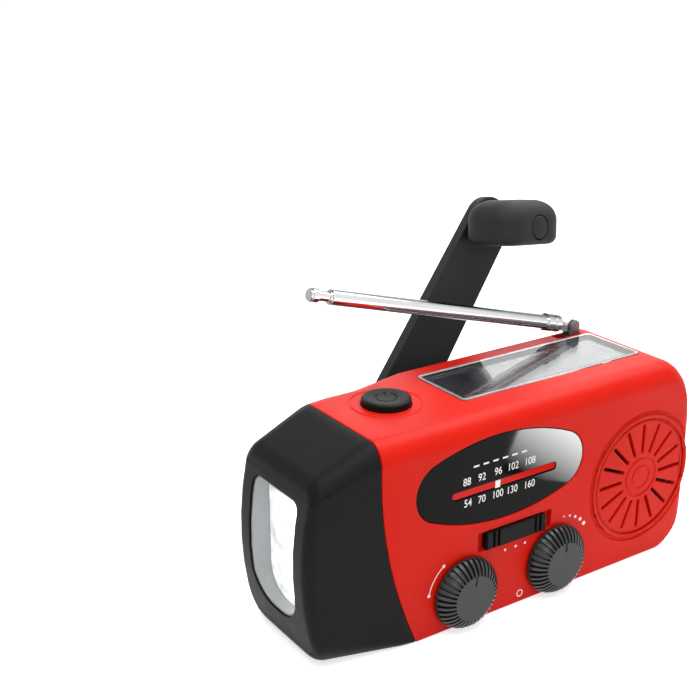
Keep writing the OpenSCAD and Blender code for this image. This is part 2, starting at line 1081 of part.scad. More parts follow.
module crank_arm() {
  color([0.13, 0.13, 0.13])
    at_arm()
      difference() {
        union() {
          cross_bar(2.8, tongue / 2);
          translate([-tongue / 2, -2.4, 0])
            cube([tongue, 4.4, 14]);
          facing(-arm_front, arm_thick - arm_front) {
            polygon([
              [-arm_root, 12],
              [-arm_tip, crank_reach],
              [arm_tip, crank_reach],
              [arm_root, 12]
            ]);
            translate([0, crank_reach])
              circle(arm_tip);
          }
        }
        cross_bar(hinge_radius + run, 8);
        bar(0, crank_reach, grip_pin_radius + 0.02, -4, 4);
      }
}

module grip_pin() {
  color([0.3, 0.3, 0.31])
    at_arm() {
      bar(0, crank_reach, grip_pin_radius, -arm_front - grip_length, arm_thick - arm_front);
      bar(0, crank_reach, 3.4, -arm_front - 0.3 - grip_length + 0.2, -arm_front - grip_length + 0.8);
    }
}

module grip() {
  color([0.16, 0.16, 0.16])
    at_arm()
      translate([0, -arm_front - 0.3, crank_reach])
        rotate([0, grip_roll - crank_lean, 0])
          difference() {
            intersection() {
              facing(-grip_length, 0)
                translate([-grip_shift, grip_thick / 2 - grip_low])
                  rounded(grip_width, grip_thick, 3);
              facing(-grip_length, 0)
                translate([-grip_shift, grip_top - crown_arc])
                  circle(crown_arc);
              upright(-grip_thick, grip_thick)
                translate([-grip_shift, -grip_length / 2])
                  rounded(grip_width, grip_length, 7);
              endwise(-grip_width, grip_width)
                translate([-grip_length / 2, grip_thick / 2 - grip_low])
                  rounded(grip_length, grip_thick, 2);
              endwise(-grip_width, grip_width)
                translate([-grip_length / 2, grip_top - end_arc])
                  circle(end_arc);
            }
            bar(0, 0, grip_pin_radius + run, -grip_length - 1, 1);
            bar(0, 0, 3.7, -grip_length - 1, -grip_length + 1.3);
          }
}

// frame of the antenna, with its length along X from the pivot
module at_antenna() {
  translate([antenna_x, antenna_y, antenna_z])
    rotate([0, antenna_tilt, 0])
      mirror([1, 0, 0])
        children();
}

// round rod along the antenna
module rod(r, x0, x1) {
  translate([x0, 0, 0])
    rotate([0, 90, 0])
      cylinder(r = r, h = x1 - x0);
}

module antenna_bracket() {
  color([0.75, 0.75, 0.77])
    difference() {
      union() {
        translate([antenna_x - 6.4, antenna_y - 1.75, top - 1.6])
          cube([8.3, 3.5, 0.4]);
        for (y = [antenna_y - 1.75, antenna_y + 1.75 - ear]) {
          bar(antenna_x, antenna_z, 1.9, y, y + ear);
          translate([antenna_x - 1.9, y, top - 1.6])
            cube([3.8, ear, antenna_z - top + 1.6]);
        }
      }
      bar(antenna_x, antenna_z, 0.81, antenna_y - 3, antenna_y + 3);
    }
}

module antenna_pin() {
  color([0.7, 0.7, 0.72])
    bar(antenna_x, antenna_z, 0.8, antenna_y - 1.75, antenna_y + 1.75);
}

module antenna_root() {
  color([0.8, 0.8, 0.82])
    at_antenna()
      difference() {
        union() {
          bar(0, 0, 1.9, -lug / 2, lug / 2);
          translate([0, -lug / 2, -1.9])
            cube([7, lug, 3.8]);
          rod(antenna_radius + 0.5, 6.4, 8.4);
          rod(antenna_radius + 0.3, 8.2, 9.4);
          rod(antenna_radius + 0.5, 9.2, 11.6);
        }
        bar(0, 0, 0.8 + run, -3, 3);
        rod(antenna_radius + 0.02, 9, 13);
      }
}

module antenna_tube() {
  color([0.85, 0.85, 0.87])
    at_antenna()
      difference() {
        rod(antenna_radius, 9.1, 11.6 + antenna_length);
        rod(middle_radius + run, 10.5, 14 + antenna_length);
      }
}

module antenna_middle() {
  color([0.85, 0.85, 0.87])
    at_antenna()
      difference() {
        rod(middle_radius, 12, 12.2 + antenna_length);
        rod(inner_radius + run, 14, 15 + antenna_length);
      }
}

module antenna_inner() {
  color([0.85, 0.85, 0.87])
    at_antenna()
      rod(inner_radius, 15, 16.4 + antenna_length);
}

module antenna_tip() {
  color([0.85, 0.85, 0.87])
    at_antenna()
      difference() {
        union() {
          rod(antenna_radius - 0.2, 15.8 + antenna_length, 17.6 + antenna_length);
          rod(antenna_radius - 0.5, 17.5 + antenna_length, 18.2 + antenna_length);
        }
        rod(inner_radius + 0.01, 15 + antenna_length, 16.45 + antenna_length);
      }
}

front_case();
rear_cover();
case_screws();
flashlight_head();
lens_bezel();
lens();
reflector();
led_board();
leds();
flashlight_button();
light_switch();
solar_cover();
solar_cells();
port_cover();
charge_socket();
charge_board();
dial_window();
dial_plate();
pointer_rail();
dial_pointer();
tuning_knob();
tuning_shaft();
tuning_capacitor();
volume_knob();
volume_shaft();
volume_control();
band_slider();
band_switch();
speaker_frame();
speaker_cone();
speaker_magnet();
main_board();
battery();
ferrite_rod();
ferrite_coil();
generator();
gear_plate();
rotor_pinion();
idler_gear();
idler_axle();
drive_gear();
crank_hub();
hub_bush();
hinge_pin();
crank_arm();
grip_pin();
grip();
antenna_bracket();
antenna_pin();
antenna_root();
antenna_tube();
antenna_middle();
antenna_inner();
antenna_tip();
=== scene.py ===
import math

import bmesh
import bpy
from mathutils import Matrix, Vector


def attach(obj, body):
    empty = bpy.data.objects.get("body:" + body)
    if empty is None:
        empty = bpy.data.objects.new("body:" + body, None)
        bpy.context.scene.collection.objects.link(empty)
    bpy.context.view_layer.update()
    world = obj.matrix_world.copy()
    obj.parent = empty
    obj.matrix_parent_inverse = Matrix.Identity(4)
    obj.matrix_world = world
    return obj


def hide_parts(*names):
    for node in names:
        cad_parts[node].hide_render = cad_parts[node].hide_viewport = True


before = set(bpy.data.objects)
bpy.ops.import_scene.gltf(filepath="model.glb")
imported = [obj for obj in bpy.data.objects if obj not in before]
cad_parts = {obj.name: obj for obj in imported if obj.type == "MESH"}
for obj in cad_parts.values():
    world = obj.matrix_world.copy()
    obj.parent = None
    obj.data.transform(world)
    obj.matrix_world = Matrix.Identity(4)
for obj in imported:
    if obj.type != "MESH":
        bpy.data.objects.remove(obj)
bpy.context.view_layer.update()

scene = bpy.context.scene
mm = 0.001

# Camera on a stand in front of the flashlight end, a little above the top of the radio.
# The lens is long for the distance, so the case shows only a little perspective.
table_camera = bpy.data.objects.new("table_camera", bpy.data.cameras.new("table_camera"))
table_camera.data.lens = 62.645
table_camera.data.sensor_width = 36
table_camera.data.clip_start = 0.01
table_camera.location = (-198.105 * mm, -232.935 * mm, 178.01 * mm)
table_camera.rotation_euler = (math.radians(70.023), 0, math.radians(-34))
scene.collection.objects.link(table_camera)
scene.camera = table_camera

# Front case, a single red ABS moulding with a fine satin texture, open at the back.
# Its rim is rounded widely along the top, less at the speaker end and hardly at all along the bottom.
# Openings for the dial, knobs, switch, speaker, window, button, antenna and socket are moulded in.
case_front, case_back, case_top, case_wall = -19.6, 19.6, 57.6, 2
speaker_end, end_middle, seam_round = 65, 27, 120
to_front = Matrix.Rotation(math.radians(90), 4, "X")
across = Matrix(((0, 0, 1, 0), (1, 0, 0, 0), (0, 1, 0, 0), (0, 0, 0, 1)))


def make_piece(name, bm):
    sharp_turn = math.radians(32)
    bmesh.ops.remove_doubles(bm, verts=bm.verts, dist=1e-7)
    bmesh.ops.recalc_face_normals(bm, faces=bm.faces)
    for face in bm.faces:
        face.smooth = True
    for edge in bm.edges:
        edge.smooth = edge.calc_face_angle(0) < sharp_turn
    mesh = bpy.data.meshes.new(name)
    bm.to_mesh(mesh)
    bm.free()
    obj = bpy.data.objects.new(name, mesh)
    scene.collection.objects.link(obj)
    return obj


def settle(obj):
    bpy.context.view_layer.update()
    made = bpy.data.meshes.new_from_object(obj.evaluated_get(bpy.context.evaluated_depsgraph_get()))
    old = obj.data
    obj.modifiers.clear()
    obj.data = made
    bpy.data.meshes.remove(old)


def carve(obj, cutter, operation="DIFFERENCE"):
    step = obj.modifiers.new("carve", "BOOLEAN")
    step.operation = operation
    step.solver = "EXACT"
    step.object = cutter
    settle(obj)
    bpy.data.objects.remove(cutter)


def round_off(bm, geom, radius, segments, affect="EDGES", clamp=False):
    return bmesh.ops.bevel(bm, geom=geom, offset=radius * mm, offset_type="OFFSET", segments=segments,
                           profile=0.5, affect=affect, clamp_overlap=clamp, material=-1)


def add_box(bm, low, high, radius=0, axis=None, segments=4):
    low, high = Vector(low) * mm, Vector(high) * mm
    size = Matrix.Diagonal((*(high - low), 1))
    made = bmesh.ops.create_cube(bm, size=1, matrix=Matrix.Translation((low + high) / 2) @ size)
    verts = made["verts"]
    if radius:
        edges = {e for v in verts for e in v.link_edges}
        if axis is not None:
            edges = {e for e in edges if abs((e.verts[0].co - e.verts[1].co).normalized()[axis]) > 0.99}
        made = round_off(bm, list(edges), radius, segments, clamp=True)
        verts = list({v for f in made["faces"] for v in f.verts} | {v for v in verts if v.is_valid})
    return verts


def box_piece(name, low, high, radius=0, axis=None, segments=4):
    bm = bmesh.new()
    add_box(bm, low, high, radius, axis, segments)
    return make_piece(name, bm)


def add_bar(bm, radius, start, stop, segments=64):
    start, stop = Vector(start) * mm, Vector(stop) * mm
    way = stop - start
    place = Matrix.Translation((start + stop) / 2) @ way.to_track_quat("Z", "Y").to_matrix().to_4x4()
    bmesh.ops.create_cone(bm, cap_ends=True, segments=segments, radius1=radius * mm, radius2=radius * mm,
                          depth=way.length, matrix=place)


def linked_verts(vert):
    found, todo = {vert}, [vert]
    while todo:
        for edge in todo.pop().link_edges:
            for near in edge.verts:
                if near not in found:
                    found.add(near)
                    todo.append(near)
    return found


def add_ring(bm, radius, thick, place):
    hoop = bmesh.ops.create_circle(bm, segments=12, radius=thick * mm,
                                   matrix=Matrix.Translation((radius * mm, 0, 0)) @ to_front)
    edges = list({e for v in hoop["verts"] for e in v.link_edges})
    bmesh.ops.spin(bm, geom=hoop["verts"] + edges, cent=(0, 0, 0), axis=(0, 0, 1), angle=math.tau,
                   steps=96, use_merge=True)
    ring = list({v for e in edges if e.is_valid for v in linked_verts(e.verts[0])})
    bmesh.ops.transform(bm, matrix=place, verts=ring)


def moulded_block(name, inset, rear):
    bow, low_round, top_round, front_round = 110, 9, 8, 3.2
    bow_x, low_x, top_x, front_x = speaker_end - bow, 54.38, 54.46, speaker_end - front_round
    foot, shoulder, rear_edge, end_from = 0.8, 6.2, 1.2, 54.4
    stations = []
    for x in (64.99, 64.8, 64.4, 63.8, 63.2, 62.3, 61.2, 59.8, 58, 56.2, end_from):
        x -= inset
        bulge = math.sqrt((bow - inset) ** 2 - (x - bow_x) ** 2)
        low, high = end_middle - bulge, end_middle + bulge
        if (x - low_x) / (low_round - inset) < (low_x - bow_x) / (bow - low_round):
            low = low_round - math.sqrt((low_round - inset) ** 2 - max(x - low_x, 0) ** 2)
        if (x - top_x) / (top_round - inset) < (top_x - bow_x) / (bow - top_round):
            high = case_top - top_round + math.sqrt((top_round - inset) ** 2 - max(x - top_x, 0) ** 2)
        curve = max((front_round - inset) ** 2 - max(x - front_x, 0) ** 2, 0)
        near = case_front + front_round - math.sqrt(curve)
        stations.append((x, low, high, near, 0, foot + 0.2 * max(x - end_from, 0), shoulder, rear_edge))
    rear_from, foot_from, taper_from, taper_rate = -12, -33, -38, 3.2 / 28
    brow_x, brow_round, slope = -42.5, 12, 23.48
    bends = [brow_x - brow_round * math.sin(math.radians(turn)) for turn in (8, 16, slope)]
    for x in (rear_from, -28.7, foot_from, taper_from, -40, brow_x, *bends, -70):
        bend = min(max(brow_x - x, 0), brow_x - bends[-1])
        down_slope = max(bends[-1] - x, 0)
        drop = brow_round - math.sqrt(brow_round ** 2 - bend ** 2)
        drop += down_slope * math.tan(math.radians(slope))
        taper = max(taper_from - x, 0) * taper_rate
        top_edge = shoulder - down_slope * 0.11
        stations.append((x, inset, case_top - drop - inset, case_front + inset + taper, taper,
                         foot + max(foot_from - x, 0) / 4, top_edge,
                         min(rear_edge + max(rear_from - x, 0) * 0.3, top_edge)))
    bm = bmesh.new()
    rims = []
    for x, low, high, near, taper, low_edge, top_edge, back_edge in stations:
        far = rear if rear > case_back else rear - taper
        middle = Vector((x, (near + far) / 2, (low + high) / 2)) * mm
        size = Matrix.Diagonal(((far - near) * mm, (high - low) * mm, 1, 1))
        before = set(bm.verts)
        bmesh.ops.create_grid(bm, x_segments=1, y_segments=1, size=0.5,
                              matrix=Matrix.Translation(middle) @ across @ size)
        corners = sorted((v for v in bm.verts if v not in before),
                         key=lambda v: (v.co.y > middle.y, v.co.z > middle.z))
        for corner, radius in zip(corners, (low_edge, top_edge, low_edge, back_edge)):
            round_off(bm, [corner], min(max(radius - inset, 0.3), 0.45 * (high - low)), 8, "VERTICES")
        rims.append([e for e in bm.edges if not any(v in before for v in e.verts)])
    between = sorted(bm.faces, key=lambda f: f.calc_center_median().x)[1:-1]
    bmesh.ops.delete(bm, geom=between, context="FACES_ONLY")
    for rim, next_rim in zip(rims, rims[1:]):
        bmesh.ops.bridge_loops(bm, edges=rim + next_rim)
    return make_piece(name, bm)


def seam_drum(radius):
    seam_x, seam_z = 75.6, 50
    bm = bmesh.new()
    add_bar(bm, radius, (seam_x, -30, seam_z), (seam_x, 40, seam_z), 360)
    return make_piece("seam_drum", bm)


def dial_oval(bm, more, back_face, front_face):
    half_width, half_height, end = 28.2, 12.2, 8.5
    run = half_width - end
    arc = (run ** 2 + half_height ** 2 - end ** 2) / (2 * (half_height - end))
    rise = arc - half_height
    tip = math.atan2(rise, run)
    side = math.pi - 2 * tip
    vert = bm.verts.new(((run + (end + more) * math.cos(tip)) * mm, -(end + more) * math.sin(tip) * mm, 0))
    made = [vert]
    for x, y, turn in ((run, 0, 2 * tip), (0, -rise, side), (-run, 0, 2 * tip), (0, rise, side)):
        before = set(bm.verts)
        spun = bmesh.ops.spin(bm, geom=[vert], cent=(x * mm, y * mm, 0), axis=(0, 0, 1), angle=turn, steps=24)
        made += [v for v in bm.verts if v not in before]
        vert = next(g for g in spun["geom_last"] if isinstance(g, bmesh.types.BMVert))
    bmesh.ops.remove_doubles(bm, verts=made, dist=1e-6)
    made = [v for v in made if v.is_valid]
    face = bmesh.ops.contextual_create(bm, geom=list({e for v in made for e in v.link_edges}))["faces"]
    solid = bmesh.ops.extrude_face_region(bm, geom=face)["geom"]
    top = [g for g in solid if isinstance(g, bmesh.types.BMVert)]
    bmesh.ops.translate(bm, verts=made, vec=(0, 0, -back_face * mm))
    bmesh.ops.translate(bm, verts=top, vec=(0, 0, -front_face * mm))
    place = Matrix.Translation((dial_x * mm, 0, dial_z * mm)) @ to_front
    bmesh.ops.transform(bm, matrix=place @ Matrix.Rotation(dial_turn, 4, "Z"), verts=made + top)


def slider_box(bm, half_long, half_high, front, back, radius, axis=None, segments=4):
    slider_x, slider_z = -1.4, 22.8
    add_box(bm, (slider_x - half_long, front, slider_z - half_high),
            (slider_x + half_long, back, slider_z + half_high), radius, axis, segments)


def window_box(bm, more, low, high, radius):
    add_box(bm, (-10 - more, -7 - more, low), (55 + more, 14 + more, high), radius, 2)


front_case = moulded_block("front_case_shell", 0, case_back)
carve(front_case, seam_drum(seam_round), "INTERSECT")
carve(front_case, moulded_block("inside", case_wall, case_back + 8))
speaker_x, speaker_z, sound_slots = 45.3, 26, 16
on_speaker = Matrix.Translation((speaker_x * mm, case_front * mm, speaker_z * mm)) @ to_front
bm = bmesh.new()
add_ring(bm, 18.3, 0.7, on_speaker @ Matrix.Translation((0, 0, -0.4 * mm)))
carve(front_case, make_piece("speaker_bead", bm), "UNION")
cut_front, cut_back, cut_top = -22, -15, 60
dial_x, dial_z, dial_turn = -6.3, 40.2, math.radians(-2.3)
bm = bmesh.new()
dial_oval(bm, 0, cut_back, -21)
slider_box(bm, 8, 1.9, cut_front, cut_back, 0.3, 1)
knob_places, knob_z = (("tuning", -18.4), ("volume", 13)), 10.3
for name, x in knob_places:
    add_bar(bm, 3.05, (x, cut_front, knob_z), (x, cut_back, knob_z))
sound_slot = add_box(bm, (speaker_x + 7.2, cut_front, speaker_z - 0.5),
                     (speaker_x + 16, cut_back, speaker_z + 0.5), 0.42, 1)
slot_edges = list({e for v in sound_slot for e in v.link_edges})
slot_faces = list({f for v in sound_slot for f in v.link_faces})
bmesh.ops.spin(bm, geom=sound_slot + slot_edges + slot_faces, cent=(speaker_x * mm, 0, speaker_z * mm),
               axis=(0, 1, 0), angle=math.tau * (1 - 1 / sound_slots), steps=sound_slots - 1,
               use_duplicate=True)
for radius, thick in ((19.25, 0.5), (17.3, 0.4), (5.8, 0.35), (3.35, 0.3)):
    add_ring(bm, radius, thick, on_speaker)
window_box(bm, 0.1, 53, cut_top, 1.5)
button_x, button_y = -27.6, 3.1
add_bar(bm, 6.68, (button_x, button_y, 53), (button_x, button_y, cut_top))
add_ring(bm, 9.6, 0.32, Matrix.Translation((button_x * mm, button_y * mm, case_top * mm)))
add_box(bm, (43.9, 15.1, 56), (53.1, 18.7, cut_top), 0.4, 2)
add_box(bm, (60, -2.9, 27.25), (68, 11.3, 34.05), 0.8, 0)
carve(front_case, make_piece("openings", bm))
bm = bmesh.new()
slider_box(bm, 12.7, 2.7, cut_front, -17.95, 0.4, 1)
carve(front_case, make_piece("slider_pocket", bm))
bm = bmesh.new()
bm.from_mesh(front_case.data)
flap_x, flap_z, lug = 65.85, 36.75, 1.2
for y in (-16.7, 12.9):
    add_box(bm, (64.3, y, flap_z - 0.75), (flap_x, y + lug, flap_z + 0.75), 0.3)
    add_bar(bm, 0.74, (flap_x, y, flap_z), (flap_x, y + lug, flap_z), 24)
bm.to_mesh(front_case.data)
bm.free()


def soften(obj, width, angle=38, segments=2):
    rounding = obj.modifiers.new("soft_edges", "BEVEL")
    rounding.width = width * mm
    rounding.segments = segments
    rounding.limit_method = "ANGLE"
    rounding.angle_limit = math.radians(angle)
    rounding.use_clamp_overlap = False
    rounding.miter_outer = "MITER_ARC"
    settle(obj)
    for polygon in obj.data.polygons:
        polygon.use_smooth = True
    even = obj.modifiers.new("even_shading", "WEIGHTED_NORMAL")
    even.keep_sharp = True
    even.weight = 80


soften(front_case, 0.22)


def surface_group(name, **inputs):
    group = bpy.data.node_groups.new(name, "ShaderNodeTree")
    kinds = {1: "NodeSocketFloat", 3: "NodeSocketVector", 4: "NodeSocketColor"}
    for label, value in inputs.items():
        kind = kinds[len(value) if isinstance(value, tuple) else 1]
        group.interface.new_socket(label, in_out="INPUT", socket_type=kind).default_value = value
    for label, kind in (("Colour", kinds[4]), ("Roughness", kinds[1]), ("Height", kinds[1])):
        group.interface.new_socket(label, in_out="OUTPUT", socket_type=kind)
    return group, group.nodes.new("NodeGroupInput"), group.nodes.new("NodeGroupOutput")


def add_node(tree, kind, inputs=None, **settings):
    node = tree.nodes.new("ShaderNode" + kind)
    for label, value in settings.items():
        setattr(node, label, value)
    for label, value in (inputs or {}).items():
        node.inputs[label].default_value = value
    return node


def wire(tree, *links):
    for source, output, target, socket in links:
        tree.links.new(source.outputs[output], target.inputs[socket])


# Moulded surface: spark texture from the tool, slight flow shading in the pigment, and handling polish.
moulded, given, made = surface_group("moulded_surface", Colour=(0.5, 0.5, 0.5, 1), Flow=0.08, Grain=5000,
                                     Roughness=0.4, Polish=0.1)
spot = add_node(moulded, "TexCoord")
flow = add_node(moulded, "TexNoise", {"Scale": 38, "Detail": 4})
spark = add_node(moulded, "TexNoise", {"Detail": 2})
rub = add_node(moulded, "TexNoise", {"Scale": 160, "Detail": 5})
less = add_node(moulded, "Math", {0: 1}, operation="SUBTRACT")
more = add_node(moulded, "Math", {0: 1}, operation="ADD")
shade = add_node(moulded, "MapRange", {"From Min": 0.3, "From Max": 0.7})
grey = add_node(moulded, "CombineColor")
tint = add_node(moulded, "Mix", {"Factor": 1}, data_type="RGBA", blend_type="MULTIPLY")
centred = add_node(moulded, "Math", {1: 0.5}, operation="SUBTRACT")
rough = add_node(moulded, "Math", operation="MULTIPLY_ADD")
wire(moulded, (spot, "Object", flow, "Vector"), (spot, "Object", spark, "Vector"),
     (spot, "Object", rub, "Vector"), (given, "Grain", spark, "Scale"), (flow, "Fac", shade, "Value"),
     (given, "Flow", less, 1), (given, "Flow", more, 1),
     (less, "Value", shade, "To Min"), (more, "Value", shade, "To Max"),
     (shade, "Result", grey, "Red"), (shade, "Result", grey, "Green"), (shade, "Result", grey, "Blue"),
     (given, "Colour", tint, "A"), (grey, "Color", tint, "B"),
     (rub, "Fac", centred, 0), (centred, "Value", rough, 0),
     (given, "Polish", rough, 1), (given, "Roughness", rough, 2),
     (tint, "Result", made, "Colour"), (rough, "Value", made, "Roughness"), (spark, "Fac", made, "Height"))


def new_material(name, **values):
    material = bpy.data.materials.new(name)
    material.use_nodes = True
    shader = material.node_tree.nodes["Principled BSDF"]
    for label, value in values.items():
        shader.inputs[label.replace("_", " ")].default_value = value
    return material, material.node_tree, shader


def finish_of(name, group, bump, specular=0.5, metallic=0, **values):
    material, tree, shader = new_material(name, Specular_IOR_Level=specular, Metallic=metallic)
    surface = add_node(tree, "Group", values, node_tree=group)
    relief = add_node(tree, "Bump", {"Strength": bump, "Distance": 0.05 * mm})
    wire(tree, (surface, "Colour", shader, "Base Color"), (surface, "Roughness", shader, "Roughness"),
         (surface, "Height", relief, "Height"), (relief, "Normal", shader, "Normal"))
    return material


def dress(material, *objects):
    for obj in objects:
        obj.data.materials.clear()
        obj.data.materials.append(material)


red_satin = finish_of("red_satin_plastic", moulded, 0.12, specular=0.13, Colour=(0.61, 0.009, 0.0015, 1),
                      Flow=0.05, Grain=4200, Roughness=0.42, Polish=0.12)
dress(red_satin, front_case)
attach(front_case, "case")
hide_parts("front_case")

# Flashlight head, a black ABS moulding pushed into the case behind the curved seam.
# It carries on the outline of the case and narrows to a bowed end face with one window.
# Its top slopes down to the end, and its lower edges are rounded more and more towards it.
head_bow, head_bow_x, head_wall = 83, 18, 2.8


def bow_end(block, inset):
    bm = bmesh.new()
    add_bar(bm, head_bow - inset, (head_bow_x, -30, end_middle), (head_bow_x, 30, end_middle), 72)
    bmesh.ops.rotate(bm, verts=bm.verts, cent=(head_bow_x * mm, 0, end_middle * mm),
                     matrix=Matrix.Rotation(math.radians(3.3), 3, "Y"))
    carve(block, make_piece("bow_drum", bm), "INTERSECT")


def on_bow(vert):
    away = math.hypot(vert.co.x / mm - head_bow_x, vert.co.z / mm - end_middle)
    return abs(away - head_bow) < 0.1


flashlight_head = moulded_block("flashlight_head_shell", 0, case_back)
bow_end(flashlight_head, 0)
bm = bmesh.new()
bm.from_mesh(flashlight_head.data)
rim = bm.edges.layers.float.new("bevel_weight_edge")
end_faces = {f for f in bm.faces if all(on_bow(v) for v in f.verts)}
for edge in bm.edges:
    if sum(f in end_faces for f in edge.link_faces) == 1:
        edge[rim] = 1
bm.to_mesh(flashlight_head.data)
bm.free()
rounding = flashlight_head.modifiers.new("end_rounding", "BEVEL")
rounding.width = 2.5 * mm
rounding.segments = 6
rounding.limit_method = "WEIGHT"
rounding.use_clamp_overlap = False
settle(flashlight_head)
carve(flashlight_head, seam_drum(seam_round + 0.1))
hollow = moulded_block("inside", head_wall, case_back - head_wall)
bow_end(hollow, head_wall)
carve(flashlight_head, hollow)


def lens_block(name, more, start, stop):
    half, low, high = 10.5 + more, 10 - more, 44.5 + more
    bm = bmesh.new()
    add_box(bm, (start, -half, low), (stop, half, high))
    for y in (-half, half):
        for z, radius in ((high, 3 + more), (low, 9 + more)):
            corner = [e for e in bm.edges
                      if all(abs(v.co.y / mm - y) + abs(v.co.z / mm - z) < 1e-3 for v in e.verts)]
            round_off(bm, corner, radius, 10)
    return make_piece(name, bm)


carve(flashlight_head, lens_block("lens_opening", 0, -70, -58))
soften(flashlight_head, 0.3)
black_satin = finish_of("black_satin_plastic", moulded, 0.16, specular=0.1, Colour=(0.005, 0.0052, 0.0054, 1),
                        Flow=0.15, Grain=4200, Roughness=0.46, Polish=0.14)
dress(black_satin, flashlight_head)
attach(flashlight_head, "case")
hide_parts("flashlight_head")

# Window frame of the flashlight, a pale grey plastic trim pressed in from behind.
# A thin collar on it lines the opening in the head, and a flange holds the edge of the lens.
lens_bezel = lens_block("lens_frame", 1.2, -59.8, -59)
collar = lens_block("frame_collar", -0.1, -66, -59.4)
bow_end(collar, 0.5)
carve(lens_bezel, collar, "UNION")
carve(lens_bezel, lens_block("frame_opening", -0.6, -67, -58))
soften(lens_bezel, 0.12)
pale_satin = finish_of("pale_grey_plastic", moulded, 0.1, Colour=(0.24, 0.245, 0.25, 1), Flow=0.08,
                       Grain=4600, Roughness=0.38, Polish=0.1)
dress(pale_satin, lens_bezel)
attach(lens_bezel, "case")
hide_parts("lens_bezel")

# Lens, a clear acrylic pane clipped in front of the reflector.
# Faint moulded waves on it spread the light of the three lamps.
clear_acrylic, tree, shader = new_material("clear_acrylic", Base_Color=(0.95, 0.97, 0.98, 1),
                                           Transmission_Weight=1, IOR=1.49)
spot = add_node(tree, "TexCoord")
waves = add_node(tree, "TexNoise", {"Scale": 220})
haze = add_node(tree, "MapRange", {"To Min": 0.02, "To Max": 0.09})
ripple = add_node(tree, "Bump", {"Strength": 0.05, "Distance": 0.1 * mm})
wire(tree, (spot, "Object", waves, "Vector"), (waves, "Fac", haze, "Value"),
     (haze, "Result", shader, "Roughness"), (waves, "Fac", ripple, "Height"),
     (ripple, "Normal", shader, "Normal"))
dress(clear_acrylic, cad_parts["lens"])


# Reflector, a moulded block with three bright metallised cups, one for each lamp.
# Its glow is painted light: an even emission stands in for the lamps' light on it, brighter and darker in
# fine noise streaks.
def add_ramp(tree, *stops):
    ramp = add_node(tree, "ValToRGB")
    for element, (position, colour) in zip(ramp.color_ramp.elements, stops):
        element.position = position
        element.color = colour
    return ramp


reflector_painted_glow, tree, shader = new_material("metallised_plastic_painted_glow", Base_Color=(0.86, 0.87, 0.88, 1),
                                           Metallic=0.6, Emission_Strength=1.05)
spot = add_node(tree, "TexCoord")
streaks = add_node(tree, "TexNoise", {"Scale": 260})
# Painted glow: the noise streaks set the emitted colour between grey and white.
level = add_ramp(tree, (0.3, (0.5, 0.51, 0.53, 1)), (0.62, (1, 1, 1, 1)))
gloss = add_node(tree, "MapRange", {"To Min": 0.12, "To Max": 0.3})
wire(tree, (spot, "Object", streaks, "Vector"),
     (streaks, "Fac", level, "Fac"), (streaks, "Fac", gloss, "Value"),
     (level, "Color", shader, "Emission Color"), (gloss, "Result", shader, "Roughness"))
dress(reflector_painted_glow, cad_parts["reflector"])

# Lamps, three clear epoxy domes soldered to a small board behind the reflector.
# The board is green coated laminate with faint copper tracks, as are the other boards in the radio.
lamp_glow, tree, shader = new_material("lit_lamp_dome", Emission_Strength=4, Roughness=0.15)
spot = add_node(tree, "TexCoord")
chip = add_node(tree, "TexNoise", {"Scale": 400})
warm = add_ramp(tree, (0, (1, 0.95, 0.82, 1)), (1, (1, 1, 0.98, 1)))
wire(tree, (spot, "Object", chip, "Vector"), (chip, "Fac", warm, "Fac"),
     (warm, "Color", shader, "Base Color"), (warm, "Color", shader, "Emission Color"))
dress(lamp_glow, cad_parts["leds"])

board_coat, tree, shader = new_material("green_board_coat", Roughness=0.35)
spot = add_node(tree, "TexCoord")
turn = add_node(tree, "Mapping", {"Rotation": (math.radians(90), 0, 0)})
tracks = add_node(tree, "TexBrick", {"Scale": 260, "Mortar Size": 0.06, "Color1": (0.015, 0.13, 0.05, 1),
                                     "Color2": (0.012, 0.1, 0.04, 1), "Mortar": (0.05, 0.24, 0.1, 1)})
wire(tree, (spot, "Object", turn, "Vector"), (turn, "Vector", tracks, "Vector"),
     (tracks, "Color", shader, "Base Color"))
for name in ("led_board", "main_board", "charge_board"):
    dress(board_coat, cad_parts[name])


# Flashlight button, a black push cap with a dished top and a moulded switch sign.
# Its flange under the case top keeps it in, and it presses a small switch board below.
def turn_profile(bm, outline, steps):
    rim = [bm.verts.new((radius * mm, 0, height * mm)) for radius, height in outline]
    edges = [bm.edges.new(pair) for pair in zip(rim, rim[1:])]
    bmesh.ops.spin(bm, geom=rim + edges, cent=(0, 0, 0), axis=(0, 0, 1), angle=math.tau, steps=steps,
                   use_merge=True)


bm = bmesh.new()
turn_profile(bm, ((0, 54.2), (7.6, 54.2), (7.6, 55.5), (6.6, 55.55), (6.6, 58.8), (6.45, 59.2), (6.1, 59.42),
                  (5.6, 59.48), (4.6, 59.4), (2.4, 59.22), (0, 59.18)), 72)
bmesh.ops.translate(bm, verts=bm.verts, vec=(button_x * mm, button_y * mm, 0))
flashlight_button = make_piece("flashlight_button_cap", bm)
sign_radius, sign_width, sign_floor, sign_gap = 2.6, 0.35, 59.08, 70
bm = bmesh.new()
bm.faces.new([bm.verts.new((r * mm, 0, z * mm)) for r, z in
              ((sign_radius, sign_floor), (sign_radius + sign_width, sign_floor),
               (sign_radius + sign_width, cut_top), (sign_radius, cut_top))])
bmesh.ops.rotate(bm, verts=bm.verts, cent=(0, 0, 0),
                 matrix=Matrix.Rotation(math.radians(90 + sign_gap / 2), 3, "Z"))
bmesh.ops.spin(bm, geom=bm.verts[:] + bm.edges[:] + bm.faces[:], cent=(0, 0, 0), axis=(0, 0, 1),
               angle=math.radians(360 - sign_gap), steps=40)
add_box(bm, (-0.17, 0.8, 59.06), (0.17, 3.3, cut_top))
bmesh.ops.rotate(bm, verts=bm.verts, cent=(0, 0, 0), matrix=Matrix.Rotation(math.radians(-25), 3, "Z"))
